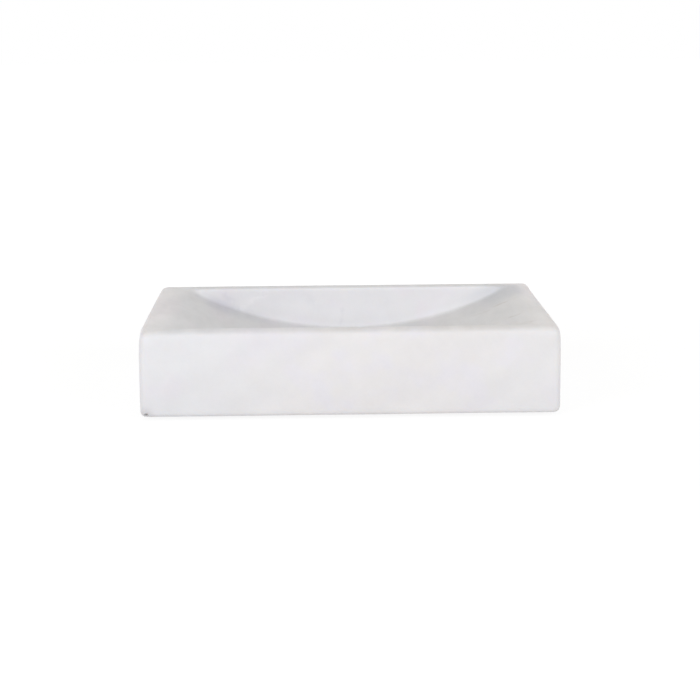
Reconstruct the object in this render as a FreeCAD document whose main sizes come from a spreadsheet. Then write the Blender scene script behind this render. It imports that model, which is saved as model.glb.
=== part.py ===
# Soap dish: a block of white marble with a hollow ground into its top, standing on four stick-on feet.
# Millimetres, +Z up. The origin lies on the surface that the dish stands on, under the middle of the
# block. +X runs along the block's length and +Y from its front to its back.

import FreeCAD
import Part
import enum
import math
import os
import Sketcher

# The driving dimensions: alias, value, what it measures.
SIZES = (
    ("hollow_length", 106.0, "mouth of the hollow, left to right, in the rim's plane"),
    ("hollow_width", 73.0, "hollow between its front and back walls"),
    ("hollow_depth", 13.6, "rim down to the lowest line of the hollow's floor"),
    ("crease_radius", 1.5, "rounding where the floor meets the front and back walls"),
    ("mouth_radius", 1.0, "softened edge round the hollow's mouth"),
    ("rim_width", 6.0, "rim in front of and behind the hollow's mouth"),
    ("end_rim_width", 7.0, "rim at the left and right ends of the hollow's mouth"),
    ("floor_thickness", 11.4, "stone left under the lowest line of the floor"),
    ("edge_radius", 1.8, "rounding of the block's upper and lower outer edges"),
    ("rim_corner_radius", 1.2, "rounding of the rim's flat at the block's four corners"),
    ("foot_radius", 5.0, "stick-on foot"),
    ("foot_side", 0.5, "straight side of a foot, above its rounded lower edge"),
    ("foot_edge_radius", 0.35, "rounding of a foot's lower edge"),
    ("foot_margin", 5.2, "flat stone between a foot and the block's rounded lower edge"),
    ("adhesive_setback", 0.3, "how far an adhesive disc stays inside its foot"),
    ("adhesive_thickness", 0.15, "adhesive disc between a foot and the block"),
)

# Sizes that follow from the sheet's cells.
FOOT_HEIGHT = "(sizes.foot_side + sizes.foot_edge_radius)"
BLOCK_BASE = f"({FOOT_HEIGHT} + sizes.adhesive_thickness)"
BLOCK_LENGTH = "(sizes.hollow_length + 2 * sizes.end_rim_width)"
BLOCK_WIDTH = "(sizes.hollow_width + 2 * sizes.rim_width)"
BLOCK_HEIGHT = "(sizes.floor_thickness + sizes.hollow_depth)"
CORNER_RADIUS = "(sizes.rim_corner_radius + sizes.edge_radius)"
FOOT_INSET = "(sizes.edge_radius + sizes.foot_margin + sizes.foot_radius)"
FOOT_X = f"({BLOCK_LENGTH} / 2 - {FOOT_INSET})"
FOOT_Y = f"({BLOCK_WIDTH} / 2 - {FOOT_INSET})"

# A wheel with its axis along Y, sunk into the block, leaves the hollow. Its radius follows from the chord
# that it cuts in the rim's plane and from how deep it goes.
WHEEL_RADIUS = "(((sizes.hollow_length / 2)^2 + sizes.hollow_depth^2) / (2 * sizes.hollow_depth))"
WHEEL_AXIS_HEIGHT = f"({BLOCK_BASE} + sizes.floor_thickness + {WHEEL_RADIUS})"

# Which way along X and Y each foot lies from the middle.
FOOT_SIDES = {
    "front_left": (-1, -1),
    "front_right": (1, -1),
    "rear_left": (-1, 1),
    "rear_right": (1, 1),
}

FULL_TURN = 360


class Spot(enum.IntEnum):
    """The points of a line or an arc, as a sketch counts them."""

    START = enum.auto()
    END = enum.auto()
    CENTRE = enum.auto()


# A sketch's own origin: the start of its horizontal axis, which it counts as line -1.
ORIGIN = (-1, Spot.START)


def fill_sheet(doc):
    """Writes the driving dimensions into the sheet that every piece is bound to."""
    sheet = doc.addObject("Spreadsheet::Sheet", "sizes")
    for row, (alias, value, meaning) in enumerate(SIZES, start=1):
        sheet.set(f"A{row}", meaning)
        sheet.set(f"B{row}", str(value))
        sheet.setAlias(f"B{row}", alias)
    doc.recompute()
    return sheet


def new_sketch(body, name, role):
    """Adds a sketch on one of the body's own origin planes."""
    plane = next(item for item in body.Origin.OriginFeatures if item.Role == role)
    sketch = body.newObject("Sketcher::SketchObject", name)
    sketch.AttachmentSupport = (plane, [""])
    sketch.MapMode = "FlatFace"
    return sketch


def add_line(sketch, start, end):
    """Draws a line between two points of the sketch's plane and returns its number."""
    return sketch.addGeometry(Part.LineSegment(FreeCAD.Vector(*start), FreeCAD.Vector(*end)))


def add_arc(sketch, centre, radius, start_angle):
    """Draws a quarter circle, anticlockwise from an angle in degrees, and returns its number."""
    circle = Part.Circle(FreeCAD.Vector(*centre), FreeCAD.Vector(0, 0, 1), radius)
    start = math.radians(start_angle)
    return sketch.addGeometry(Part.ArcOfCircle(circle, start, start + math.pi / 2))


def relate(sketch, kind, *geometry):
    """Adds a relation without a dimension, such as tangent or horizontal."""
    sketch.addConstraint(Sketcher.Constraint(kind, *geometry))


def join(sketch, kind, *loop):
    """Joins the end of each line or arc of a run to the start of the next."""
    for current, following in zip(loop, loop[1:]):
        relate(sketch, kind, current, Spot.END, following, Spot.START)


def dimension(sketch, kind, geometry, name, expression):
    """Adds a named dimension and ties it to the sheet."""
    start_value = float(sketch.evalExpression(expression))
    number = sketch.addConstraint(Sketcher.Constraint(kind, *geometry, start_value))
    sketch.renameConstraint(number, name)
    sketch.setExpression(f"Constraints.{name}", expression)


def evaluate(owner, *expressions):
    """Works out expressions of the sheet's cells, for a sketch's first drawing."""
    return [float(owner.evalExpression(expression)) for expression in expressions]


def draw_footprint(body):
    """The block's outline in plan: a rectangle with rounded corners, round the origin."""
    sketch = new_sketch(body, "footprint", "XY_Plane")
    sketch.setExpression(".AttachmentOffset.Base.z", BLOCK_BASE)
    length, width, radius = evaluate(sketch, BLOCK_LENGTH, BLOCK_WIDTH, CORNER_RADIUS)
    x, y = length / 2, width / 2
    x_flat, y_flat = x - radius, y - radius

    front = add_line(sketch, (-x_flat, -y), (x_flat, -y))
    front_right = add_arc(sketch, (x_flat, -y_flat), radius, 270)
    right = add_line(sketch, (x, -y_flat), (x, y_flat))
    rear_right = add_arc(sketch, (x_flat, y_flat), radius, 0)
    rear = add_line(sketch, (x_flat, y), (-x_flat, y))
    rear_left = add_arc(sketch, (-x_flat, y_flat), radius, 90)
    left = add_line(sketch, (-x, y_flat), (-x, -y_flat))
    front_left = add_arc(sketch, (-x_flat, -y_flat), radius, 180)

    join(sketch, "Tangent", front, front_right, right, rear_right, rear, rear_left, left, front_left, front)
    relate(sketch, "Horizontal", front)
    relate(sketch, "Vertical", right)
    relate(sketch, "Horizontal", rear)
    relate(sketch, "Equal", front_right, rear_right)
    relate(sketch, "Equal", front_right, rear_left)
    relate(sketch, "Symmetric", front_right, Spot.CENTRE, rear_left, Spot.CENTRE, *ORIGIN)
    dimension(sketch, "DistanceX", (left, Spot.START, right, Spot.END), "block_length", BLOCK_LENGTH)
    dimension(sketch, "DistanceY", (front, Spot.END, rear, Spot.START), "block_width", BLOCK_WIDTH)
    dimension(sketch, "Radius", (front_right,), "corner_radius", CORNER_RADIUS)
    return sketch


def draw_wheel(body):
    """The half of the wheel's section above its axis, so that its seam stays out of the stone."""
    sketch = new_sketch(body, "wheel_section", "YZ_Plane")
    sketch.setExpression(".AttachmentOffset.Base.y", WHEEL_AXIS_HEIGHT)
    width, height, radius = evaluate(sketch, "sizes.hollow_width", WHEEL_RADIUS, "sizes.crease_radius")
    side = width / 2
    side_flat, height_flat = side - radius, height - radius

    axis = add_line(sketch, (-side, 0), (side, 0))
    rear = add_line(sketch, (side, 0), (side, height_flat))
    rear_shoulder = add_arc(sketch, (side_flat, height_flat), radius, 0)
    tread = add_line(sketch, (side_flat, height), (-side_flat, height))
    front_shoulder = add_arc(sketch, (-side_flat, height_flat), radius, 90)
    front = add_line(sketch, (-side, height_flat), (-side, 0))

    join(sketch, "Tangent", rear, rear_shoulder, tread, front_shoulder, front)
    join(sketch, "Coincident", front, axis, rear)
    relate(sketch, "Horizontal", tread)
    relate(sketch, "Vertical", rear)
    relate(sketch, "Horizontal", axis)
    relate(sketch, "Symmetric", rear, Spot.START, front, Spot.END, *ORIGIN)
    relate(sketch, "Equal", rear_shoulder, front_shoulder)
    dimension(sketch, "DistanceX", (front, Spot.END, rear, Spot.START), "hollow_width", "sizes.hollow_width")
    dimension(sketch, "DistanceY", (rear, Spot.START, tread, Spot.START), "wheel_radius", WHEEL_RADIUS)
    dimension(sketch, "Radius", (rear_shoulder,), "crease_radius", "sizes.crease_radius")
    return sketch


def edge_names(shape, *wires):
    """Names of the shape's edges that lie on the given wires."""
    wanted = [edge for wire in wires for edge in wire.Edges]
    numbered = enumerate(shape.Edges, start=1)
    return [f"Edge{number}" for number, edge in numbered if any(edge.isSame(other) for other in wanted)]


def highest_face(shape):
    """The face that lies above all others: the rim's flat."""
    return max(shape.Faces, key=lambda face: face.BoundBox.ZMin)


def lowest_face(shape):
    """The face that lies below all others: the block's underside."""
    return min(shape.Faces, key=lambda face: face.BoundBox.ZMax)


def round_edges(body, name, base, edges, radius):
    """Rounds some edges of the body's last feature."""
    fillet = body.newObject("PartDesign::Fillet", name)
    fillet.Base = (base, edges)
    fillet.setExpression("Radius", radius)
    body.Document.recompute()
    return fillet


def make_dish(doc):
    """The marble block with its ground hollow and its softened edges."""
    body = doc.addObject("PartDesign::Body", "marble_dish")

    block = body.newObject("PartDesign::Pad", "block")
    block.Profile = draw_footprint(body)
    block.setExpression("Length", BLOCK_HEIGHT)
    doc.recompute()

    hollow = body.newObject("PartDesign::Groove", "hollow")
    hollow.Profile = draw_wheel(body)
    hollow.ReferenceAxis = (hollow.Profile[0], ["H_Axis"])
    hollow.Angle = FULL_TURN
    doc.recompute()
    if not hollow.Shape.Volume < block.Shape.Volume:
        raise ValueError("the wheel took no stone out of the block")

    outside = (highest_face(hollow.Shape).OuterWire, lowest_face(hollow.Shape).OuterWire)
    outer_edges = edge_names(hollow.Shape, *outside)
    rounded = round_edges(body, "rounded_outside", hollow, outer_edges, "sizes.edge_radius")

    rim = highest_face(rounded.Shape)
    mouth = [wire for wire in rim.Wires if not wire.isSame(rim.OuterWire)]
    mouth_edges = edge_names(rounded.Shape, *mouth)
    round_edges(body, "softened_mouth", rounded, mouth_edges, "sizes.mouth_radius")
    return body


def place_under_block(piece, sides, height):
    """Puts a piece of a foot at its corner under the block, at a height above the ground."""
    x_side, y_side = sides
    piece.setExpression("Placement.Base.x", f"{x_side} * {FOOT_X}")
    piece.setExpression("Placement.Base.y", f"{y_side} * {FOOT_Y}")
    piece.setExpression("Placement.Base.z", height)


def draw_foot(body):
    """Half a foot's section: flat below, with a rounded lower edge and a straight side."""
    sketch = new_sketch(body, f"{body.Name}_section", "XZ_Plane")
    radius, height, edge = evaluate(sketch, "sizes.foot_radius", FOOT_HEIGHT, "sizes.foot_edge_radius")
    flat = radius - edge

    sole = add_line(sketch, (0, 0), (flat, 0))
    lower_edge = add_arc(sketch, (flat, edge), edge, 270)
    side = add_line(sketch, (radius, edge), (radius, height))
    top = add_line(sketch, (radius, height), (0, height))
    axis = add_line(sketch, (0, height), (0, 0))

    join(sketch, "Tangent", sole, lower_edge, side)
    join(sketch, "Coincident", side, top, axis, sole)
    relate(sketch, "Coincident", sole, Spot.START, *ORIGIN)
    relate(sketch, "Horizontal", sole)
    relate(sketch, "Horizontal", top)
    relate(sketch, "Vertical", axis)
    relate(sketch, "Vertical", side)
    dimension(sketch, "DistanceX", (top, Spot.END, top, Spot.START), "foot_radius", "sizes.foot_radius")
    dimension(sketch, "DistanceY", (axis, Spot.END, axis, Spot.START), "foot_height", FOOT_HEIGHT)
    dimension(sketch, "Radius", (lower_edge,), "foot_edge_radius", "sizes.foot_edge_radius")
    return sketch


def make_foot(doc, corner, sides):
    """One stick-on foot, standing on the ground under its corner of the block."""
    body = doc.addObject("PartDesign::Body", f"{corner}_foot")
    turned = body.newObject("PartDesign::Revolution", f"{corner}_foot_turned")
    turned.Profile = draw_foot(body)
    turned.ReferenceAxis = (turned.Profile[0], ["V_Axis"])
    turned.Angle = FULL_TURN
    place_under_block(body, sides, "0")
    return body


def make_adhesive(doc, corner, sides):
    """The disc of adhesive that holds a foot to the underside of the block."""
    disc = doc.addObject("Part::Cylinder", f"{corner}_adhesive")
    disc.setExpression("Radius", "sizes.foot_radius - sizes.adhesive_setback")
    disc.setExpression("Height", "sizes.adhesive_thickness")
    place_under_block(disc, sides, FOOT_HEIGHT)
    return disc


def check(doc, pieces):
    """Stops if any object failed to build or any piece isn't one valid solid."""
    failed = [item.Name for item in doc.Objects if {"Invalid", "Error"} & set(item.State)]
    if failed:
        raise ValueError(f"failed objects: {failed}")
    for piece in pieces:
        if piece.Shape.isNull() or not piece.Shape.isValid() or len(piece.Shape.Solids) != 1:
            raise ValueError(f"{piece.Label} isn't one valid solid")


def main():
    doc = FreeCAD.newDocument("soap_dish")
    fill_sheet(doc)
    pieces = [make_dish(doc)]
    for corner, sides in FOOT_SIDES.items():
        pieces.append(make_foot(doc, corner, sides))
        pieces.append(make_adhesive(doc, corner, sides))
    doc.recompute()
    check(doc, pieces)

    os.makedirs("parts", exist_ok=True)
    for piece in pieces:
        piece.Shape.exportStep(f"parts/{piece.Label}.step")
        box = piece.Shape.optimalBoundingBox()
        print(piece.Label, f"{box.XLength:.2f} x {box.YLength:.2f} x {box.ZLength:.2f} mm")


main()
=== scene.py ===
"""A soap dish of honed white marble on stick-on feet, dressed round its packed construction.

Metres, +Z up. The dish stands on the plane z = 0 with its front towards -Y, and every piece is made
where the construction has it.
"""

import logging
import math
from collections.abc import Callable, Iterator
from contextlib import contextmanager
from dataclasses import dataclass, field
from enum import Enum
from functools import cached_property

import bmesh
import bpy
from mathutils import Euler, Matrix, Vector


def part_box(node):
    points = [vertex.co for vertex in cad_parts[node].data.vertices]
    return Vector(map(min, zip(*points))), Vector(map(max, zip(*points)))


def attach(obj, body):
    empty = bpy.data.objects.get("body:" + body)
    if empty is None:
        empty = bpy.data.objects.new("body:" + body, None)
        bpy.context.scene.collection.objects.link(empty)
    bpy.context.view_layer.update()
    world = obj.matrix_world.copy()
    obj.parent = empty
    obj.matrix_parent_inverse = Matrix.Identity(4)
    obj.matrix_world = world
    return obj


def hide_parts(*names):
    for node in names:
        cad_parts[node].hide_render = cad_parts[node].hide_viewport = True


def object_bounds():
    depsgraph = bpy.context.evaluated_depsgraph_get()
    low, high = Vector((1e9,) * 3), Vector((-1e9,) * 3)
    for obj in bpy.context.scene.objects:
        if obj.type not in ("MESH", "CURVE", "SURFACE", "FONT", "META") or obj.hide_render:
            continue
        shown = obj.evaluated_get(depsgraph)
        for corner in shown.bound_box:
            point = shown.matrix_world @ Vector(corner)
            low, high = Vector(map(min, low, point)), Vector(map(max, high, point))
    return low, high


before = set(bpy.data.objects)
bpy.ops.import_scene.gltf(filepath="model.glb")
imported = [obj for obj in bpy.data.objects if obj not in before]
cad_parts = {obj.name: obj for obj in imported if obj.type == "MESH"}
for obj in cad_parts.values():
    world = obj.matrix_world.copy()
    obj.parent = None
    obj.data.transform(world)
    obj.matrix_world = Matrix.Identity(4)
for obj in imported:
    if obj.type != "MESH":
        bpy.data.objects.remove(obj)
CAD_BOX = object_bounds()

MM = 0.001
TOUCH = 1 * MM  # how near counts as being there
SMOOTHING = 0.5  # how far one pass moves a vertex towards its neighbours
NOISE_MIDDLE = 0.5  # what a noise gives on average
BODY = "root"
LOG = logging.getLogger("soap_dish")

Place = tuple[float, float, float]
Colour = tuple[float, float, float]
Span = tuple[float, float]
Piece = bpy.types.Object
Socket = bpy.types.NodeSocket
Test = Callable[[list[Vector]], bool]

WHITE: Colour = (1.0, 1.0, 1.0)
ACROSS_AXIS: Place = (1.0, 0.0, 1.0)  # leaves out the way along the wheel's axis


class Element(Enum):
    """What an edit-mode selection is made of."""

    VERTEX = "VERT"
    EDGE = "EDGE"
    FACE = "FACE"


class Blend(Enum):
    """How a second colour is laid over a first."""

    COVER = "MIX"
    TINT = "MULTIPLY"


class Slot(Enum):
    """Two material slot names: marble and silicone."""

    MARBLE = "marble"
    SILICONE = "silicone"


class FootPlace(Enum):
    """The corners of the dish that a foot stands under."""

    FRONT_LEFT = "front_left"
    FRONT_RIGHT = "front_right"
    REAR_LEFT = "rear_left"
    REAR_RIGHT = "rear_right"


def spot(x: float, y: float, z: float) -> Place:
    """Turns a place or a reach in millimetres into metres."""
    return (x * MM, y * MM, z * MM)


def choose(piece: Piece) -> None:
    """Deselects everything, then selects one piece and makes it the active one.

    Args:
        piece: The object that the next operators act on.
    """
    bpy.ops.object.select_all(action="DESELECT")
    piece.select_set(True)
    bpy.context.view_layer.objects.active = piece


def newest(name: str) -> Piece:
    """Takes over the primitive that was just added, with its place and size put into its mesh.

    Args:
        name: The piece's name.

    Returns:
        The new object, at the origin, unturned and unscaled.
    """
    piece = bpy.context.active_object
    piece.name = name
    piece.data.name = name
    choose(piece)
    bpy.ops.object.transform_apply(location=True, rotation=True, scale=True)
    return piece


@contextmanager
def picked(piece: Piece, element: Element, wanted: Test) -> Iterator[None]:
    """Edits a piece with some of its vertices, edges or faces selected.

    Args:
        piece: The object to edit.
        element: What to select.
        wanted: Says from the places of an element's corners whether it is selected.

    Yields:
        Nothing; the body of the with statement runs in edit mode.
    """
    choose(piece)
    bpy.ops.object.mode_set(mode="EDIT")
    bpy.ops.mesh.select_mode(type=element.value)
    bpy.ops.mesh.select_all(action="DESELECT")
    shape = bmesh.from_edit_mesh(piece.data)
    if element is Element.VERTEX:
        for corner in shape.verts:
            corner.select_set(wanted([corner.co]))
    else:
        for item in shape.edges if element is Element.EDGE else shape.faces:
            item.select_set(wanted([corner.co for corner in item.verts]))
    bmesh.update_edit_mesh(piece.data)
    yield
    bpy.ops.object.mode_set(mode="OBJECT")


def above(level: float) -> Test:
    """Makes a test for what lies wholly above a level."""
    return lambda ends: min(end.z for end in ends) > level


def below(level: float) -> Test:
    """Makes a test for what lies wholly below a level."""
    return lambda ends: max(end.z for end in ends) < level


def centred_at(point: Vector) -> Test:
    """Makes a test for what has its middle at a point."""
    return lambda ends: (sum(ends, Vector()) / len(ends) - point).length < TOUCH


def round_edges(piece: Piece, radius: float, steps: int, wanted: Test) -> None:
    """Rounds those edges of a piece whose ends are at wanted places, in a number of steps."""
    with picked(piece, Element.EDGE, wanted):
        bpy.ops.mesh.bevel(offset=radius, segments=steps, affect="EDGES")


def apply_modifier(piece: Piece, kind: str, name: str, **settings: object) -> None:
    """Adds a modifier to a piece and applies it.

    Args:
        piece: The object that gets the modifier.
        kind: Blender's name for the kind of modifier.
        name: The modifier's own name.
        **settings: The modifier's properties.
    """
    choose(piece)
    modifier = piece.modifiers.new(name, kind)
    for key, value in settings.items():
        setattr(modifier, key, value)
    bpy.ops.object.modifier_apply(modifier=modifier.name)


def cut_away(piece: Piece, name: str, tool: Piece) -> None:
    """Cuts the shape of a tool out of a piece and takes the tool away."""
    apply_modifier(piece, "BOOLEAN", name, operation="DIFFERENCE", solver="EXACT", object=tool)
    bpy.data.objects.remove(tool)


def weigh(piece: Piece, name: str, weight: Callable[[Vector], float]) -> None:
    """Gives a piece a vertex group whose weights follow from each vertex's place.

    Args:
        piece: The object that gets the group.
        name: The group's name.
        weight: The weight, from 0 to 1, at a place.
    """
    group = piece.vertex_groups.new(name=name)
    for vertex in piece.data.vertices:
        share = weight(vertex.co)
        if share > 0:
            group.add([vertex.index], share, "REPLACE")


def ease(value: float, start: float, end: float) -> float:
    """Goes smoothly from 0 at start to 1 at end, which may lie either way round."""
    share = min(1.0, max(0.0, (value - start) / (end - start)))
    return share * share * (3 - 2 * share)


def clouds(name: str, size: float, depth: int) -> bpy.types.Texture:
    """Makes a soft noise for displacing a surface.

    Args:
        name: The texture's name.
        size: The size of its swells.
        depth: How many finer layers it adds.

    Returns:
        The texture.
    """
    texture = bpy.data.textures.new(name, "CLOUDS")
    texture.noise_scale = size
    texture.noise_depth = depth
    return texture


@dataclass(frozen=True)
class Noise:
    """A soft noise: the size of its swells, its finer layers and how strong each of them is."""

    size: float
    layers: float
    strength: float


class Graph:
    """A small helper that lays out one material's or world's shader nodes."""

    def __init__(self, tree: bpy.types.NodeTree) -> None:
        """Empties a node tree and takes it over."""
        self.tree = tree
        tree.nodes.clear()

    @cached_property
    def place(self) -> Socket:
        """The place on the piece's own mesh, which its patterns read."""
        return self.node("TexCoord").outputs["Object"]

    def node(self, kind: str, inputs: dict[str, object] | None = None, **settings: object) -> bpy.types.Node:
        """Adds a node, sets its properties and fills its sockets.

        Args:
            kind: The node's type, without the ShaderNode prefix.
            inputs: Sockets by name, each a value or another node's output to link.
            **settings: The node's own properties.

        Returns:
            The node.
        """
        made = self.tree.nodes.new(f"ShaderNode{kind}")
        for key, value in settings.items():
            setattr(made, key, value)
        for key, value in (inputs or {}).items():
            self.fill(made.inputs[key], value)
        return made

    def fill(self, socket: Socket, value: object) -> None:
        """Links a socket to an output, or sets it to a constant.

        Args:
            socket: The input to fill.
            value: An output or a constant.
        """
        if isinstance(value, Socket):
            self.tree.links.new(value, socket)
        else:
            socket.default_value = value

    def in_order(self, kind: str, values: tuple[object, ...], **settings: object) -> bpy.types.Node:
        """Adds a node and fills its sockets in order.

        Args:
            kind: The node's type, without the ShaderNode prefix.
            values: The constants or outputs for its first sockets.
            **settings: The node's own properties.

        Returns:
            The node.
        """
        made = self.node(kind, **settings)
        for socket, value in zip(made.inputs, values):
            self.fill(socket, value)
        return made

    def math(self, operation: str, *values: object) -> Socket:
        """Does one sum on numbers or outputs and returns the result's output."""
        return self.in_order("Math", values, operation=operation).outputs["Value"]

    def vector(self, operation: str, *values: object) -> Socket:
        """Does one sum on vectors and returns the result's output."""
        return self.in_order("VectorMath", values, operation=operation).outputs["Vector"]

    def measure(self, operation: str, *values: object) -> Socket:
        """Turns vectors into a number, such as a distance, and returns its output."""
        return self.in_order("VectorMath", values, operation=operation).outputs["Value"]

    def scale(self, vector: object, factor: Socket) -> Socket:
        """Multiplies a vector or a colour by a number and returns the result's output."""
        values = {"Vector": vector, "Scale": factor}
        return self.node("VectorMath", values, operation="SCALE").outputs["Vector"]

    def noise_node(self, place: Socket, noise: Noise) -> bpy.types.Node:
        """Adds a noise whose swells have a real size."""
        values = {"Scale": 1 / noise.size, "Detail": noise.layers, "Roughness": noise.strength}
        return self.node("TexNoise", {"Vector": place, **values}, noise_dimensions="3D")

    def noise(self, place: Socket, noise: Noise) -> Socket:
        """Adds a noise and returns its strength's output."""
        return self.noise_node(place, noise).outputs["Fac"]

    def swing(self, noise: Socket, depth: object, base: object) -> Socket:
        """Moves a value up and down with a noise, by half the depth either way."""
        return self.math("MULTIPLY_ADD", self.math("SUBTRACT", noise, NOISE_MIDDLE), depth, base)

    def remap(self, value: Socket, low: float, high: float) -> Socket:
        """Stretches the range from low to high, which may lie either way round, smoothly to 0..1."""
        values = {"Value": value, "From Min": low, "From Max": high}
        return self.node("MapRange", values, interpolation_type="SMOOTHSTEP").outputs["Result"]

    def spread(self, value: Socket, low: float, high: float) -> Socket:
        """Spreads 0..1 evenly over a range and returns the result's output."""
        return self.node("MapRange", {"Value": value, "To Min": low, "To Max": high}).outputs["Result"]

    def mix(self, share: object, first: object, second: object, blend: Blend = Blend.COVER) -> Socket:
        """Mixes two colours.

        Args:
            share: How much of the second colour shows, from 0 to 1.
            first: A colour or an output.
            second: A colour or an output.
            blend: How the second colour is laid over the first.

        Returns:
            The mixed colour's output.
        """
        made = self.node("Mix", data_type="RGBA", blend_type=blend.value)
        for name, value in (("Factor_Float", share), ("A_Color", first), ("B_Color", second)):
            socket = next(item for item in made.inputs if item.identifier == name)
            self.fill(socket, (*value, 1.0) if isinstance(value, tuple) else value)
        return next(item for item in made.outputs if item.identifier == "Result_Color")

    def surface(self, inputs: dict[str, object]) -> None:
        """Ends a material in a principled surface whose sockets are given by name."""
        shader = self.node("BsdfPrincipled", inputs)
        self.node("OutputMaterial", {"Surface": shader.outputs["BSDF"]})


def blank_material(name: str) -> tuple[bpy.types.Material, Graph]:
    """Makes a material that has no nodes yet.

    Args:
        name: The material's name.

    Returns:
        The material, and the graph that lays out its nodes.
    """
    material = bpy.data.materials.new(name)
    material.use_nodes = True
    return material, Graph(material.node_tree)


@dataclass(frozen=True)
class Bed:
    """One bed of the marble: where it lies across the bedding and how dark it is."""

    offset: float
    darkness: float


@dataclass(frozen=True)
class Cloud:
    """A soft cloud laid over the colour: its middle, its reach each way, and its darkness, below 0 if light.
    """

    place: Place
    reach: Place
    darkness: float


@dataclass(frozen=True)
class Vein:
    """A short thin vein: its two ends, how far it fades out to each side, its strength and its colour."""

    start: Place
    end: Place
    width: float
    strength: float
    colour: Colour


@dataclass(frozen=True)
class Crease:
    """A stretch of painted shade along the crease behind the hollow's floor.

    It reaches up the wall and along the floor, and comes in and goes out along X.
    """

    tint: Colour
    up_wall: float
    along_floor: float
    start: Span
    end: Span


@dataclass(frozen=True)
class Hollow:
    """The hollow that a wheel ground into the stone: the wheel's middle and radius, and half sizes."""

    axis: Vector
    radius: float
    half_width: float
    half_length: float


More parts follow.
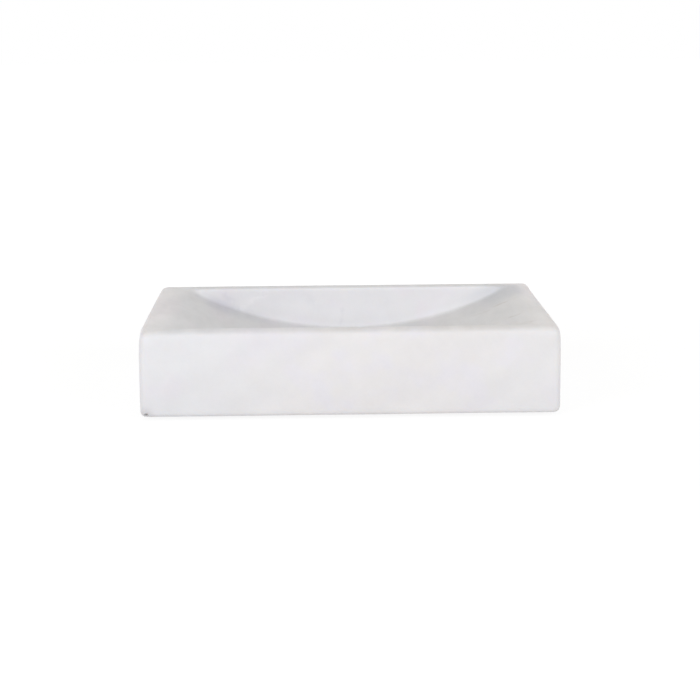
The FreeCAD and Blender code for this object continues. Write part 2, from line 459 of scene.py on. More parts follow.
@dataclass(frozen=True)
class HonedMarble:
    """White marble with soft grey beds that rise to the right, honed to a low sheen."""

    cool_white: Colour = (0.844, 0.837, 0.852)
    rosy_white: Colour = (0.860, 0.836, 0.833)
    rosy_heart: Place = spot(14, -46, 12)
    rosy_reach: Span = (65 * MM, 14 * MM)
    rosy_drift: Noise = Noise(18 * MM, 3, 0.5)
    rosy_drift_depth: float = 60 * MM
    violet_white: Colour = (0.851, 0.828, 0.858)
    violet_start: Place = spot(90, 40, 70)
    violet_patches: Noise = Noise(11 * MM, 2, 0.45)
    violet_range: Span = (0.47, 0.69)
    deep_scale: Place = (1.0, 0.2, 1.0)
    deep_start: Place = spot(0, -34, 0)

    bedding_normal: Place = (-0.60, -0.10, 0.79)
    bedding_start: Place = spot(0, -42.5, 0)
    bed_reach: float = 60 * MM
    bed_depth: float = 0.024
    beds: tuple[Bed, ...] = (
        Bed(-60 * MM, 0.5), Bed(-44 * MM, 0.8), Bed(-34 * MM, 0.1), Bed(-23 * MM, 0.0),
        Bed(-17.5 * MM, 1.0), Bed(-11.5 * MM, 0.05), Bed(-6 * MM, 0.75), Bed(2 * MM, 0.95),
        Bed(10 * MM, 0.4), Bed(17 * MM, 0.0), Bed(23 * MM, 0.9), Bed(29 * MM, 0.35),
        Bed(35 * MM, 0.9), Bed(44 * MM, 0.1), Bed(60 * MM, 0.6),
    )
    bed_sway: Noise = Noise(26 * MM, 3, 0.5)
    bed_sway_depth: float = 14 * MM
    bed_fray_depth: float = 4 * MM
    bed_patches: Noise = Noise(6 * MM, 4, 0.55)
    bed_patch_depth: float = 3.0
    along_beds: Place = (0.30, 0.55, 1.0)
    wisps: Noise = Noise(5.5 * MM, 3, 0.5)
    wisp_depth: float = 0.25
    # Painted shade: the stone darker towards the bottom.
    bottom_painted_shade: float = 0.045
    bottom_shade_reach: Span = (20 * MM, 2 * MM)
    clouds: tuple[Cloud, ...] = (
        Cloud(spot(-46, 38, 18), spot(50, 5, 25), 0.006),
        Cloud(spot(25, 38, 18), spot(80, 5, 25), -0.072),
        Cloud(spot(-53, -22, 24), spot(12, 15, 12), -0.07),
        Cloud(spot(43, -21, 22), spot(10, 13, 12), -0.05),
    )

    upward_range: Span = (0.35, 0.9)
    mottle_scale: Place = (1.0, 0.3, 1.0)
    mottle: Noise = Noise(5 * MM, 4, 0.6)
    mottle_depth: float = 0.2
    # Painted warm light on the rim's up-facing ends; painted shade on the hollow's up-facing floor, warmer
    # on the right and weaker near the front wall.
    rim_painted_warm_light: Colour = (1.0, 0.983, 0.957)
    left_floor_painted_shade: Colour = (0.862, 0.864, 0.857)
    right_floor_painted_shade: Colour = (0.864, 0.861, 0.840)
    floor_turn: Span = (-5 * MM, 35 * MM)
    front_fade: Span = (-1 * MM, 10 * MM)
    front_fade_depth: float = 0.42
    floor_shift: float = 1.6 * MM
    floor_reach: Span = (6.4 * MM, -6.6 * MM)
    # Painted shade along the crease, on its left and right stretches.
    crease_shades: tuple[Crease, ...] = (
        Crease((0.878, 0.885, 0.907), 2.5 * MM, 17 * MM, (-48 * MM, -42 * MM), (-21 * MM, -41 * MM)),
        Crease((0.818, 0.838, 0.868), 7 * MM, 24 * MM, (32 * MM, 57 * MM), (57 * MM, 53 * MM)),
    )
    crease_fade: Span = (1.0, 0.25)
    crease_end: float = 2 * MM

    rust: Colour = (0.50, 0.44, 0.38)
    chalk: Colour = (0.95, 0.94, 0.95)
    slate: Colour = (0.58, 0.58, 0.65)
    veins: tuple[Vein, ...] = (
        Vein(spot(47.4, 16.8, 22.5), spot(52.3, 14.2, 24.6), 1.9 * MM, 0.34, rust),
        Vein(spot(39.5, 16.6, 19.4), spot(44.3, 14.2, 21.3), 1.3 * MM, 0.22, rust),
        Vein(spot(48.9, -9.6, 23.2), spot(51.6, -11.3, 24.4), 1.4 * MM, 0.32, rust),
        Vein(spot(48.6, -24.0, 23.1), spot(53.0, -29.2, 25.1), 1.8 * MM, 0.22, rust),
        Vein(spot(53.2, -0.5, 25.1), spot(54.8, -2.7, 25.5), 1.0 * MM, 0.22, rust),
        Vein(spot(-53.8, 7.5, 25.9), spot(-49.0, 6.2, 24.2), 1.8 * MM, 0.10, rust),
        Vein(spot(-34.4, 36.5, 19.5), spot(-25.5, 36.5, 24.6), 2.2 * MM, 0.42, chalk),
        Vein(spot(-38.5, 36.5, 23.4), spot(-36.5, 36.5, 20.8), 2.2 * MM, 0.2, slate),
        Vein(spot(-13.5, 36.5, 23.8), spot(-10.5, 36.5, 21.4), 2.4 * MM, 0.1, slate),
        Vein(spot(-0.8, 36.5, 18.8), spot(-1.4, 36.5, 13.6), 1.0 * MM, 0.13, slate),
    )
    vein_wobble: Noise = Noise(2.5 * MM, 3, 0.6)
    vein_wobble_reach: Place = spot(1.6, 1.6, 0.6)
    vein_blotches: Noise = Noise(2.2 * MM, 2, 0.5)
    vein_blotch_range: Span = (0.34, 0.62)

    # A dark spot with a faint halo in the chip at the lower front edge.
    dark_spot_colour: Colour = (0.16, 0.14, 0.12)
    dark_spot_edge: Noise = Noise(0.8 * MM, 3, 0.6)
    dark_spot_core_shares: Span = (1.15, 0.3)
    dark_spot_core_strength: float = 0.62
    dark_spot_halo_shares: Span = (4, 0.6)
    dark_spot_halo_strength: float = 0.14

    crystals: Noise = Noise(0.7 * MM, 2, 0.6)
    sparkle: float = 0.03
    roughness: Span = (0.48, 0.62)
    bump_strength: float = 0.10
    bump_height: float = 0.03 * MM
    refraction: float = 1.5
    sheen: float = 0.35
    glow: float = 0.25
    glow_tint: Colour = (1.0, 0.85, 0.7)
    depth_of_light: float = 1.2 * MM

    def material(self, hollow: Hollow, spot_middle: Vector, spot_reach: float) -> bpy.types.Material:
        """Makes the material.

        Args:
            hollow: The hollow, whose floor and creases get painted shade.
            spot_middle: Where the chip holds a dark spot.
            spot_reach: How far the dark spot reaches.

        Returns:
            The material.
        """
        material, graph = blank_material("honed_marble")
        darkness = self.darkness(graph)
        crystal = graph.noise(graph.place, self.crystals)
        sparkle = graph.math("MULTIPLY", graph.math("SUBTRACT", crystal, NOISE_MIDDLE), self.sparkle)
        tone = graph.math("SUBTRACT", graph.math("ADD", 1.0, sparkle), darkness)
        pale = graph.mix(self.rosy_share(graph), self.cool_white, self.rosy_white)
        ground = graph.mix(self.violet_share(graph), pale, self.violet_white)
        stone = graph.scale(ground, tone)
        offset = graph.vector("SUBTRACT", graph.place, tuple(hollow.axis))
        top_lit_and_shaded = self.paint_top_light_and_shade(graph, offset, stone, hollow)
        shaded = self.paint_crease_shade(graph, offset, top_lit_and_shaded, hollow)
        veined = self.vein_colour(graph, shaded)
        spotted = graph.mix(self.dark_spot_share(graph, spot_middle, spot_reach), veined, self.dark_spot_colour)
        bump = {"Height": crystal, "Strength": self.bump_strength, "Distance": self.bump_height}
        graph.surface({
            "Base Color": spotted,
            "Roughness": graph.spread(crystal, *self.roughness),
            "Normal": graph.node("Bump", bump).outputs["Normal"],
            "IOR": self.refraction,
            "Specular IOR Level": self.sheen,
            "Subsurface Weight": self.glow,
            "Subsurface Radius": self.glow_tint,
            "Subsurface Scale": self.depth_of_light,
        })
        return material

    def deepened(self, graph: Graph) -> Socket:
        """Gives places that change slowly from front to back, so that patches are drawn out there."""
        return graph.vector("MULTIPLY_ADD", graph.place, self.deep_scale, self.deep_start)

    def rosy_share(self, graph: Graph) -> Socket:
        """Works out how rosy the white is: most so in the middle of the front.

        Args:
            graph: The material's nodes.

        Returns:
            The share of the rosy white.
        """
        away = graph.measure("DISTANCE", graph.place, self.rosy_heart)
        drift = graph.noise(self.deepened(graph), self.rosy_drift)
        return graph.remap(graph.swing(drift, self.rosy_drift_depth, away), *self.rosy_reach)

    def violet_share(self, graph: Graph) -> Socket:
        """Works out where the white leans to violet, in small soft patches."""
        moved = graph.vector("ADD", self.deepened(graph), self.violet_start)
        return graph.remap(graph.noise(moved, self.violet_patches), *self.violet_range)

    def streaks(self, graph: Graph) -> Socket:
        """Adds fine wisps drawn out along the beds.

        Args:
            graph: The material's nodes.

        Returns:
            The wisps, from 0 to 1.
        """
        rise = math.atan2(-self.bedding_normal[0], self.bedding_normal[2])
        turned = graph.node("Mapping", {"Vector": self.deepened(graph), "Rotation": (0.0, rise, 0.0)})
        drawn_out = graph.node("Mapping", {"Vector": turned.outputs["Vector"], "Scale": self.along_beds})
        return graph.noise(drawn_out.outputs["Vector"], self.wisps)

    def bed_ramp(self, graph: Graph, across: Socket) -> Socket:
        """Lays the beds out one after another.

        Args:
            graph: The material's nodes.
            across: How far a place lies across the beds.

        Returns:
            How dark the bed at that place is.
        """
        ends = {"From Min": -self.bed_reach, "From Max": self.bed_reach}
        share = graph.node("MapRange", {"Value": across, **ends})
        ramp = graph.node("ValToRGB", {"Fac": share.outputs["Result"]})
        ramp.color_ramp.interpolation = "EASE"
        stops = ramp.color_ramp.elements
        for stop in list(stops)[1:]:
            stops.remove(stop)
        for number, bed in enumerate(self.beds):
            position = (bed.offset + self.bed_reach) / (2 * self.bed_reach)
            stop = stops.new(position) if number else stops[0]
            stop.position = position
            stop.color = (bed.darkness, bed.darkness, bed.darkness, 1.0)
        return ramp.outputs["Color"]

    def darkness(self, graph: Graph) -> Socket:
        """Works out how much darker than white the beds and the clouds are, with painted shade that darkens
        the stone towards the bottom.

        Args:
            graph: The material's nodes.

        Returns:
            The share of brightness that they take away.
        """
        streaks = self.streaks(graph)
        offset = graph.vector("SUBTRACT", graph.place, self.bedding_start)
        across = graph.measure("DOT_PRODUCT", offset, self.bedding_normal)
        deep = self.deepened(graph)
        swayed = graph.swing(graph.noise(deep, self.bed_sway), self.bed_sway_depth, across)
        bed = self.bed_ramp(graph, graph.swing(streaks, self.bed_fray_depth, swayed))
        mottled = graph.swing(graph.noise(deep, self.bed_patches), self.bed_patch_depth, bed)
        wispy = graph.swing(streaks, self.wisp_depth, mottled)
        height = graph.node("SeparateXYZ", {"Vector": graph.place}).outputs["Z"]
        # Painted shade, darker towards the bottom.
        painted_low_shade = graph.math("MULTIPLY", graph.remap(height, *self.bottom_shade_reach), self.bottom_painted_shade)
        total = graph.math("MULTIPLY_ADD", wispy, self.bed_depth, painted_low_shade)
        for cloud in self.clouds:
            away = graph.vector("DIVIDE", graph.vector("SUBTRACT", graph.place, cloud.place), cloud.reach)
            share = graph.remap(graph.measure("LENGTH", away), 1.0, 0.0)
            total = graph.math("MULTIPLY_ADD", share, cloud.darkness, total)
        return total

    def paint_top_light_and_shade(self, graph: Graph, offset: Socket, stone: Socket, hollow: Hollow) -> Socket:
        """Paints light and shade on what faces up: painted warm light on the rim's ends and painted shade on
        the hollow's floor, less so at the front.

        Args:
            graph: The material's nodes.
            offset: The way from the wheel's middle to a place.
            stone: The stone's own colour.
            hollow: The hollow's shape.

        Returns:
            The colour with the painted light and shade.
        """
        normal = graph.node("TexCoord").outputs["Normal"]
        facing = graph.node("SeparateXYZ", {"Vector": normal}).outputs["Z"]
        upward = graph.remap(facing, *self.upward_range)
        parts = graph.node("SeparateXYZ", {"Vector": offset}).outputs
        sideways = graph.math("ABSOLUTE", graph.math("ADD", parts["X"], self.floor_shift))
        inward = graph.remap(graph.math("SUBTRACT", sideways, hollow.half_length), *self.floor_reach)
        behind = graph.remap(graph.math("ADD", parts["Y"], hollow.half_width), *self.front_fade)
        kept = graph.math("MULTIPLY_ADD", behind, self.front_fade_depth, 1 - self.front_fade_depth)
        between_ends = graph.math("MULTIPLY", upward, inward)
        floor_shade_share = graph.math("MULTIPLY", between_ends, kept)
        rim_light_share = graph.math("SUBTRACT", upward, between_ends)
        mottle = graph.noise(graph.vector("MULTIPLY", graph.place, self.mottle_scale), self.mottle)
        tone = graph.swing(mottle, graph.math("MULTIPLY", upward, self.mottle_depth), 1.0)
        # Painted warm light on the up-facing rim, then painted shade on the hollow's floor.
        rim_lit = graph.mix(rim_light_share, graph.scale(stone, tone), self.rim_painted_warm_light, Blend.TINT)
        rightward = graph.remap(parts["X"], *self.floor_turn)
        floor_painted_shade = graph.mix(rightward, self.left_floor_painted_shade, self.right_floor_painted_shade)
        return graph.mix(floor_shade_share, rim_lit, floor_painted_shade, Blend.TINT)

    def paint_crease_shade(self, graph: Graph, offset: Socket, stone: Socket, hollow: Hollow) -> Socket:
        """Paints shade into the crease between the hollow's floor and its back wall.

        Args:
            graph: The material's nodes.
            offset: The way from the wheel's middle to a place.
            stone: The colour beside the crease.
            hollow: The hollow's shape.

        Returns:
            The colour with the painted shade.
        """
        parts = graph.node("SeparateXYZ", {"Vector": offset}).outputs
        from_axis = graph.measure("LENGTH", graph.vector("MULTIPLY", offset, ACROSS_AXIS))
        from_wheel = graph.math("ABSOLUTE", graph.math("SUBTRACT", from_axis, hollow.radius))
        from_wall = graph.math("ABSOLUTE", graph.math("SUBTRACT", hollow.half_width, parts["Y"]))
        inside = graph.remap(parts["Y"], hollow.half_width + self.crease_end, hollow.half_width)
        colour = stone
        for crease in self.crease_shades:
            up_wall = graph.math("DIVIDE", from_wheel, crease.up_wall)
            along_floor = graph.math("DIVIDE", from_wall, crease.along_floor)
            nearness = graph.remap(graph.math("MAXIMUM", up_wall, along_floor), *self.crease_fade)
            coming_in = graph.remap(parts["X"], *crease.start)
            going_out = graph.remap(parts["X"], *crease.end)
            stretch = graph.math("MULTIPLY", graph.math("MULTIPLY", coming_in, going_out), inside)
            share = graph.math("MULTIPLY", nearness, stretch)
            # Painted shade laid into the crease.
            colour = graph.mix(share, colour, crease.tint, Blend.TINT)
        return colour

    def vein_colour(self, graph: Graph, stone: Socket) -> Socket:
        """Draws the thin veins into the stone.

        Args:
            graph: The material's nodes.
            stone: The colour between the veins.

        Returns:
            The colour with the veins in it.
        """
        wobble = graph.noise_node(graph.place, self.vein_wobble).outputs["Color"]
        centred = graph.vector("SUBTRACT", wobble, (NOISE_MIDDLE,) * 3)
        shift = graph.vector("MULTIPLY", centred, self.vein_wobble_reach)
        frayed = graph.vector("ADD", graph.place, shift)
        blotches = graph.remap(graph.noise(graph.place, self.vein_blotches), *self.vein_blotch_range)
        colour = stone
        for vein in self.veins:
            run = Vector(vein.end) - Vector(vein.start)
            offset = graph.vector("SUBTRACT", frayed, vein.start)
            along = graph.measure("DOT_PRODUCT", offset, tuple(run / run.length_squared))
            held = graph.node("Clamp", {"Value": along}).outputs["Result"]
            nearest = graph.scale(tuple(run), held)
            near = graph.remap(graph.measure("DISTANCE", offset, nearest), vein.width, 0.0)
            share = graph.math("MULTIPLY", graph.math("MULTIPLY", near, vein.strength), blotches)
            colour = graph.mix(share, colour, vein.colour)
        return colour

    def dark_spot_share(self, graph: Graph, spot_middle: Vector, size: float) -> Socket:
        """Works out where the dark spot in the chip lies: a dark core and a faint halo.

        Args:
            graph: The material's nodes.
            spot_middle: The middle of the dark spot.
            size: How far it reaches.

        Returns:
            The share of the dark spot in the colour.
        """
        away = graph.measure("DISTANCE", graph.place, tuple(spot_middle))
        distance = graph.swing(graph.noise(graph.place, self.dark_spot_edge), size, away)
        core_reach = (size * share for share in self.dark_spot_core_shares)
        halo_reach = (size * share for share in self.dark_spot_halo_shares)
        core = graph.math("MULTIPLY", graph.remap(distance, *core_reach), self.dark_spot_core_strength)
        halo = graph.math("MULTIPLY", graph.remap(distance, *halo_reach), self.dark_spot_halo_strength)
        return graph.math("MAXIMUM", core, halo)


@dataclass(frozen=True)
class MilkySilicone:
    """Soft silicone, translucent and slightly frosted."""

    colour: Colour = (0.74, 0.75, 0.75)
    dust: Colour = (0.60, 0.60, 0.59)
    smudges: Noise = Noise(2.5 * MM, 4, 0.6)
    smudge_range: Span = (0.45, 0.75)
    smudge_strength: float = 0.5
    frost: Noise = Noise(0.25 * MM, 2, 0.5)
    roughness: Span = (0.34, 0.5)
    bump_strength: float = 0.2
    bump_height: float = 0.02 * MM
    refraction: float = 1.41
    glow: float = 0.6
    depth_of_light: float = 1.5 * MM

    def material(self) -> bpy.types.Material:
        """Makes the material.

        Returns:
            The material.
        """
        material, graph = blank_material("milky_silicone")
        smudge = graph.remap(graph.noise(graph.place, self.smudges), *self.smudge_range)
        frost = graph.noise(graph.place, self.frost)
        dusty = graph.math("MULTIPLY", smudge, self.smudge_strength)
        bump = {"Height": frost, "Strength": self.bump_strength, "Distance": self.bump_height}
        graph.surface({
            "Base Color": graph.mix(dusty, self.colour, self.dust),
            "Roughness": graph.spread(frost, *self.roughness),
            "Normal": graph.node("Bump", bump).outputs["Normal"],
            "IOR": self.refraction,
            "Subsurface Weight": self.glow,
            "Subsurface Radius": WHITE,
            "Subsurface Scale": self.depth_of_light,
        })
        return material


@dataclass(frozen=True)
class TackyAdhesive:
    """A thin film of clear, faintly yellow adhesive with tiny bubbles of trapped air."""

    colour: Colour = (0.80, 0.79, 0.75)
    trapped_air: Colour = (0.88, 0.88, 0.87)
    bubble_size: float = 0.8 * MM
    bubble_range: Span = (0.30, 0.12)
    roughness: float = 0.2
    refraction: float = 1.47

    def material(self) -> bpy.types.Material:
        """Makes the material.

        Returns:
            The material.
        """
        material, graph = blank_material("tacky_adhesive")
        bubbles = graph.node("TexVoronoi", {"Vector": graph.place, "Scale": 1 / self.bubble_size})
        airy = graph.remap(bubbles.outputs["Distance"], *self.bubble_range)
        colour = graph.mix(airy, self.colour, self.trapped_air)
        graph.surface({"Base Color": colour, "Roughness": self.roughness, "IOR": self.refraction})
        return material


@dataclass(frozen=True)
class Corner:
    """One upright corner of the block: which way it lies from the middle, and how round it is."""

    x_side: int
    y_side: int
    radius: float


@dataclass
class CarvedDish:
    """The marble block with its ground hollow, soft and slightly uneven as hand finishing leaves it."""

    low: Vector
    high: Vector
    finish: HonedMarble
    corners: tuple[Corner, ...] = (
        Corner(-1, -1, 2.2 * MM),
        Corner(1, -1, 2.3 * MM),
        Corner(-1, 1, 2.6 * MM),
        Corner(1, 1, 2.2 * MM),
    )
    corner_steps: int = 10
    upper_edge: float = 2.1 * MM
    lower_edge: float = 1.5 * MM
    edge_steps: int = 8
    rim_width: float = 6.0 * MM
    end_rim_width: float = 7.0 * MM
    hollow_depth: float = 13.6 * MM
    hollow_shift: float = 0.9 * MM
    crease_radius: float = 1.4 * MM
    wheel_sides: int = 512
    mesh_size: float = 0.62 * MM
    end_fade: Span = (7.0 * MM, 7.0 * MM / 3)
    end_passes: int = 60
    mouth_fade: Span = (3.0 * MM, 0.75 * MM)
    mouth_passes: int = 5
    rim_wear: Span = (48 * MM, 25 * MM)
    rim_passes: int = 30
    wear_fade: Span = (9.0 * MM, 2.25 * MM)
    wear_passes: int = 40
    honing_passes: int = 2
    swell_size: float = 30 * MM
    swell_height: float = 0.12 * MM
    ripple_size: float = 9 * MM
    ripple_height: float = 0.012 * MM
    surface_layers: int = 1
    taper: float = 0.12 * MM
    taper_grip: float = 3 * MM
    taper_reach: float = 15 * MM
    chip_place: Place = spot(1.8, 0.45, 0.85)
    chip_radius: float = 0.8 * MM
    chip_steps: int = 3
    chip_offset_share: float = 0.55
    fracture_size_share: float = 0.6
    fracture_layers: int = 2
    fracture_height_share: float = 0.5
    piece: Piece = field(init=False)

    @property
    def half_mouth(self) -> float:
        """Half the length of the hollow's mouth."""
        return (self.high.x - self.low.x) / 2 - self.end_rim_width

    @property
    def half_hollow(self) -> float:
        """Half the width of the hollow between its front and back walls."""
        return (self.high.y - self.low.y) / 2 - self.rim_width

    @property
    def wheel_radius(self) -> float:
        """The radius of the wheel that ground the hollow, from its chord and its depth."""
        return (self.half_mouth**2 + self.hollow_depth**2) / (2 * self.hollow_depth)

    @property
    def hollow_middle(self) -> Vector:
        """The middle of the hollow's mouth, a little off the block's own middle."""
        middle = (self.low + self.high) / 2
        return Vector((middle.x + self.hollow_shift, middle.y, self.high.z))

    @property
    def hollow(self) -> Hollow:
        """The hollow's shape."""
        axis = self.hollow_middle + Vector((0, 0, self.wheel_radius - self.hollow_depth))
        return Hollow(axis, self.wheel_radius, self.half_hollow, self.half_mouth)

    @property
    def chip(self) -> Vector:
        """Where the lower front edge is chipped, near its left end."""
        return self.low + Vector(self.chip_place)

    def build(self) -> Piece:
        """Models and dresses the stone.

        Returns:
            The finished piece.
        """
        self.piece = self.block()
        self.grind_hollow()
        apply_modifier(self.piece, "REMESH", "even_mesh", mode="VOXEL", voxel_size=self.mesh_size)
        self.soften()
        self.roughen()
        self.wear_corner()
        self.chip_edge()
        choose(self.piece)
        bpy.ops.object.shade_smooth()
        self.piece.data.materials.clear()
        self.piece.data.materials.append(self.finish.material(self.hollow, self.chip, self.chip_radius))
        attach(self.piece, BODY)
        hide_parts("marble_dish")
        return self.piece

    def block(self) -> Piece:
        """Cuts the block and rounds its upright corners, then its upper and lower edges.

        Returns:
            The block.
        """
        bpy.ops.object.select_all(action="DESELECT")
        size = self.high - self.low
        middle = (self.low + self.high) / 2
        bpy.ops.mesh.primitive_cube_add(size=1, location=middle, scale=size)
        piece = newest("carved_marble")
        for corner in self.corners:
            upright = middle + Vector((corner.x_side * size.x / 2, corner.y_side * size.y / 2, 0))
            round_edges(piece, corner.radius, self.corner_steps, centred_at(upright))
        round_edges(piece, self.upper_edge, self.edge_steps, above(self.high.z - TOUCH))
        round_edges(piece, self.lower_edge, self.edge_steps, below(self.low.z + TOUCH))
        return piece

    def grind_hollow(self) -> None:
        """Sinks a wheel with rounded shoulders into the block."""
        bpy.ops.object.select_all(action="DESELECT")
        bpy.ops.mesh.primitive_cylinder_add(
            vertices=self.wheel_sides,
            radius=self.hollow.radius,
            depth=2 * self.hollow.half_width,
            location=self.hollow.axis,
            rotation=(math.pi / 2, 0, 0),
        )
        wheel = newest("wheel")
        shoulder = self.half_hollow
        round_edges(
            wheel, self.crease_radius, self.edge_steps, lambda ends: abs(ends[0].y - ends[1].y) < shoulder
        )
        cut_away(self.piece, "hollow", wheel)

    def near_end(self, place: Vector) -> float:
        """Says how near a place is to the line where the floor runs out into the rim.

        Args:
            place: A place on the stone.

        Returns:
            1 on that line, and 0 away from it.
        """
        offset = place - self.hollow_middle
        if -offset.z > max(self.end_fade):
            return 0.0
        along = abs(abs(offset.x) - self.half_mouth)
        inside = ease(abs(offset.y), self.half_hollow, self.half_hollow - self.crease_radius)
        return inside * ease(along, *self.end_fade)

    def near_mouth(self, place: Vector) -> float:
        """Says how near a place on the rim is to the hollow's edge.

        Args:
            place: A place on the stone.

        Returns:
            1 at the edge, and 0 away from it.
        """
        offset = place - self.hollow_middle
        beyond = max(abs(offset.x) - self.half_mouth, abs(offset.y) - self.half_hollow)
        return ease(max(abs(beyond), -offset.z), *self.mouth_fade)

    def near_front_rim(self, place: Vector) -> float:
        """Says how near a place is to the worn front rim.

        Args:
            place: A place on the stone.

        Returns:
            1 on the rim, less towards its right end, and 0 away from it.
        """
        half_rim = self.rim_width / 2
        inward = place.y - self.low.y - half_rim
        away = math.hypot(inward, place.z - self.high.z)
        return ease(away, self.rim_width, half_rim) * ease(place.x, *self.rim_wear)

    def near_worn_corner(self, place: Vector) -> float:
        """Says how near a place is to one of the upper front corners.

        Args:
            place: A place on the stone.

        Returns:
            1 at a corner, and 0 away from both.
        """
        corners = (Vector((x, self.low.y, self.high.z)) for x in (self.low.x, self.high.x))
        nearest = min((place - corner).length for corner in corners)
        return ease(nearest, *self.wear_fade)

    def soften(self) -> None:
        """Eases the hollow's edge, more so where its floor runs out, and wears rim and corners."""
        layers = (
            ("soft_ends", self.near_end, self.end_passes),
            ("soft_mouth", self.near_mouth, self.mouth_passes),
            ("worn_rim", self.near_front_rim, self.rim_passes),
            ("worn_corners", self.near_worn_corner, self.wear_passes),
        )
        for name, nearness, passes in layers:
            weigh(self.piece, name, nearness)
            settings = {"factor": SMOOTHING, "iterations": passes, "vertex_group": name}
            apply_modifier(self.piece, "SMOOTH", name, **settings)
        apply_modifier(self.piece, "SMOOTH", "honed", factor=SMOOTHING, iterations=self.honing_passes)

    def roughen(self) -> None:
        """Adds the slow swells and finer ripples of a surface ground by hand."""
        layers = (
            ("swells", self.swell_size, self.swell_height),
            ("ripples", self.ripple_size, self.ripple_height),
        )
        for name, size, height in layers:
            texture = clouds(name, size, self.surface_layers)
            settings = {"texture": texture, "strength": height, "texture_coords": "LOCAL"}
            apply_modifier(self.piece, "DISPLACE", name, **settings)

    def wear_corner(self) -> None:
        """Draws the rear left corner in a little, so that the left side tapers towards the back."""
        corner = Vector((self.low.x, self.high.y, 0))
        grip = self.taper_grip
        with picked(self.piece, Element.VERTEX, lambda ends: (ends[0] - corner).xy.length < grip):
            bpy.ops.transform.translate(
                value=(self.taper, 0, 0),
                use_proportional_edit=True,
                proportional_edit_falloff="SMOOTH",
                proportional_size=self.taper_reach,
            )

    def chip_edge(self) -> None:
        """Breaks a small chip out of the lower front edge, near its left end."""
        bpy.ops.object.select_all(action="DESELECT")
        outwards = Vector((0, -1, -1)).normalized()
        centre = self.chip + outwards * self.chip_radius * self.chip_offset_share
        radius = self.chip_radius
        bpy.ops.mesh.primitive_ico_sphere_add(subdivisions=self.chip_steps, radius=radius, location=centre)
        blow = newest("blow")
        texture = clouds("fracture", radius * self.fracture_size_share, self.fracture_layers)
        height = radius * self.fracture_height_share
        apply_modifier(blow, "DISPLACE", "fracture", texture=texture, strength=height)
        cut_away(self.piece, "chip", blow)


@dataclass
class StickOnFeet:
    """The four silicone feet and the adhesive discs that hold them."""

    corners: tuple[str, ...]
    silicone: MilkySilicone
    adhesive: TackyAdhesive
    sides: int = 96
    edge_radius: float = 0.35 * MM
    edge_steps: int = 6
    top_edge: float = 0.08 * MM
    top_edge_steps: int = 2
    gate_radius: float = 0.7 * MM
    gate_depth: float = 0.06 * MM
    sole_play: float = 0.003 * MM
    smooth_angle: float = math.radians(40)

    def build(self) -> list[Piece]:
        """Models one foot, copies it to each corner and dresses all of them.

        Returns:
            The four feet.
        """
        material = self.silicone.material()
        pattern = self.model(self.corners[0])
        pattern.data.materials.append(material)
        feet = [pattern]
        first = self.middle(self.corners[0])
        for corner in self.corners[1:]:
            foot = pattern.copy()
            foot.data = pattern.data.copy()
            foot.name = f"{corner}_bumper"
            bpy.context.scene.collection.objects.link(foot)
            foot.location = self.middle(corner) - first
            choose(foot)
            bpy.ops.object.transform_apply(location=True, rotation=True, scale=True)
            feet.append(foot)
        for corner, foot in zip(self.corners, feet):
            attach(foot, BODY)
            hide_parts(f"{corner}_foot")
        self.dress_adhesive()
        return feet

    def middle(self, corner: str) -> Vector:
        """The middle of the foot at a corner."""
        low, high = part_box(f"{corner}_foot")
        return (low + high) / 2

    def model(self, corner: str) -> Piece:
        """Turns one foot: a low disc with a rounded lower edge and a small moulding mark in its sole.

        Args:
            corner: The corner that the foot stands at.

        Returns:
            The foot.
        """
        low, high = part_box(f"{corner}_foot")
        middle = (low + high) / 2
        radius = (high.x - low.x) / 2
        bpy.ops.object.select_all(action="DESELECT")
        bpy.ops.mesh.primitive_cylinder_add(
            vertices=self.sides, radius=radius, depth=high.z - low.z, location=middle
        )
        foot = newest(f"{corner}_bumper")
        round_edges(foot, self.edge_radius, self.edge_steps, below(middle.z))
        round_edges(foot, self.top_edge, self.top_edge_steps, above(high.z - self.top_edge))
        with picked(foot, Element.FACE, below(low.z + self.sole_play)):
            bpy.ops.mesh.inset(thickness=radius - self.edge_radius - self.gate_radius)
            bpy.ops.mesh.inset(thickness=self.gate_depth)
            bpy.ops.transform.translate(value=(0, 0, self.gate_depth))
        choose(foot)
        bpy.ops.object.shade_smooth_by_angle(angle=self.smooth_angle)
        return foot

    def dress_adhesive(self) -> None:
        """Gives the adhesive discs, which stay as constructed, their finish."""
        material = self.adhesive.material()
        for corner in self.corners:
            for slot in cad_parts[f"{corner}_adhesive"].material_slots:
                slot.material = material


@dataclass(frozen=True)
class SoftLamp:
    """A large square softbox that looks at the dish."""

    name: str
    place: Place
    size: float
    power: float
    colour: Colour

    def build(self, target: Vector) -> None:
        """Hangs the lamp.

        Args:
            target: The point that it is turned to.
        """
        data = bpy.data.lights.new(self.name, "AREA")
        data.shape = "SQUARE"
        data.size = self.size
        data.energy = self.power
        data.color = self.colour
        lamp = bpy.data.objects.new(self.name, data)
        bpy.context.scene.collection.objects.link(lamp)
        lamp.location = self.place
        lamp.rotation_euler = (target - lamp.location).to_track_quat("-Z", "Y").to_euler()


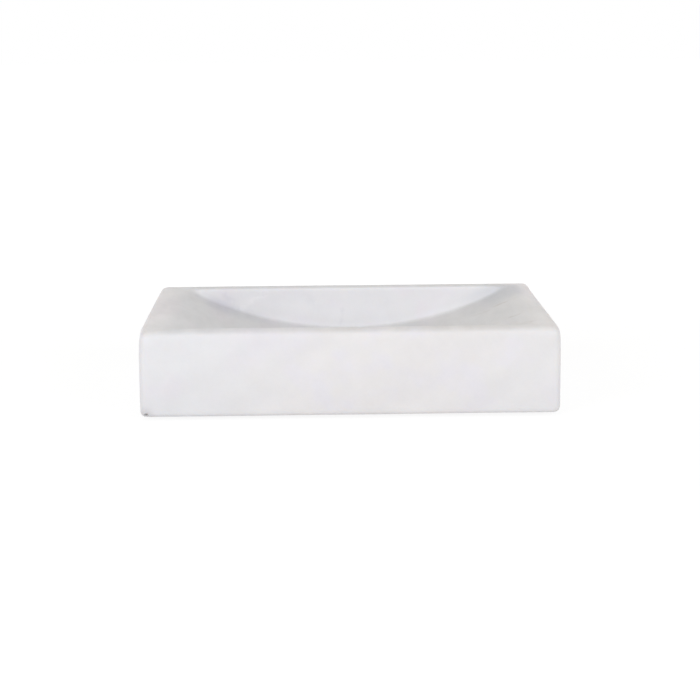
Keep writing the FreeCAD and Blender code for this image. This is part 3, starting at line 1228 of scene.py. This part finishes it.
@dataclass
class Studio:
    """The floor, the light and the camera."""

    target: Vector
    eye: Place = (-0.01027, -0.56107, 0.11729)
    pitch: float = math.radians(10.6206)
    turn: float = math.radians(1.1232)
    roll: float = math.radians(-0.4414)
    lens: float = 96.0
    sensor: float = 36.0
    floor_size: float = 6.0
    floor_colour: Colour = (0.5, 0.5, 0.5)
    floor_shine: float = 0.325
    floor_white: float = 1.31
    floor_paint: float = 0.50
    paint_reach: Span = (0.40, 0.15)
    sky: Colour = (1.0, 0.985, 0.96)
    sky_level: float = 0.635
    backdrop_level: float = 1.0
    lamps: tuple[SoftLamp, ...] = (
        SoftLamp("front_left_softbox", (-1.1, -1.2, 0.6), 0.9, 8.15, (0.91, 0.945, 1.0)),
        SoftLamp("front_right_softbox", (1.1, -1.2, 0.6), 0.9, 6.3, (0.91, 0.945, 1.0)),
    )

    def build(self) -> None:
        """Sets up the whole studio."""
        bpy.context.scene.view_settings.view_transform = "Standard"
        self.floor()
        self.world()
        for lamp in self.lamps:
            lamp.build(self.target)
        self.camera()

    def backdrop_share(self, graph: Graph) -> Socket:
        """Works out which rays see plain white: those of the camera and of clear reflections.

        Args:
            graph: The nodes of the floor or of the world.

        Returns:
            1 for such a ray, and 0 for the others.
        """
        path = graph.node("LightPath").outputs
        seen = graph.math("MAXIMUM", path["Is Camera Ray"], path["Is Glossy Ray"])
        return graph.math("MAXIMUM", seen, path["Is Transmission Ray"])

    def floor(self) -> None:
        """Lays a pale floor that shows white, with a faint shadow of the dish."""
        bpy.ops.object.select_all(action="DESELECT")
        bpy.ops.mesh.primitive_plane_add(size=self.floor_size)
        floor = newest("floor")
        material, graph = blank_material("pale_floor")
        paint = graph.node("BsdfDiffuse", {"Color": (*self.floor_colour, 1.0)})
        shine = graph.node("Emission", {"Color": (*WHITE, 1.0), "Strength": self.floor_shine})
        lit = graph.in_order("AddShader", (paint.outputs["BSDF"], shine.outputs["Emission"]))
        white = graph.node("Emission", {"Color": (*WHITE, 1.0), "Strength": self.floor_white})
        nearness = graph.remap(graph.measure("LENGTH", graph.place), *self.paint_reach)
        painted = graph.math("MULTIPLY", nearness, self.floor_paint)
        share = graph.math("MULTIPLY", self.backdrop_share(graph), graph.math("SUBTRACT", 1.0, painted))
        mixed = graph.in_order("MixShader", (share, lit.outputs["Shader"], white.outputs["Emission"]))
        graph.node("OutputMaterial", {"Surface": mixed.outputs["Shader"]})
        floor.data.materials.append(material)

    def world(self) -> None:
        """Lights the room evenly and shows white behind the floor."""
        world = bpy.data.worlds.new("room")
        world.use_nodes = True
        bpy.context.scene.world = world
        graph = Graph(world.node_tree)
        light = graph.node("Background", {"Color": (*self.sky, 1.0), "Strength": self.sky_level})
        shown = graph.node("Background", {"Color": (*WHITE, 1.0), "Strength": self.backdrop_level})
        share = self.backdrop_share(graph)
        rooms = (light.outputs["Background"], shown.outputs["Background"])
        mixed = graph.in_order("MixShader", (share, *rooms))
        graph.node("OutputWorld", {"Surface": mixed.outputs["Shader"]})

    def camera(self) -> None:
        """Puts the camera where the photograph was taken from."""
        data = bpy.data.cameras.new("camera")
        data.lens = self.lens
        data.sensor_width = self.sensor
        camera = bpy.data.objects.new("camera", data)
        bpy.context.scene.collection.objects.link(camera)
        camera.location = self.eye
        upright = Euler((math.pi / 2 - self.pitch, 0, -self.turn)).to_matrix()
        rolled = Euler((0, 0, self.roll)).to_matrix()
        camera.rotation_euler = (upright @ rolled).to_euler()
        bpy.context.scene.camera = camera


def main() -> None:
    """Builds the dish, its feet and the studio in order."""
    logging.basicConfig(level=logging.INFO, format="%(name)s: %(message)s")
    dish = CarvedDish(*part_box("marble_dish"), finish=HonedMarble()).build()
    LOG.info("%s: %d faces", dish.name, len(dish.data.polygons))
    corners = tuple(place.value for place in FootPlace)
    for foot in StickOnFeet(corners, MilkySilicone(), TackyAdhesive()).build():
        LOG.info("%s: %d faces", foot.name, len(foot.data.polygons))
    Studio(target=(CAD_BOX[0] + CAD_BOX[1]) / 2).build()
    LOG.info("studio: floor, lamps, camera")


if __name__ == "__main__":
    main()
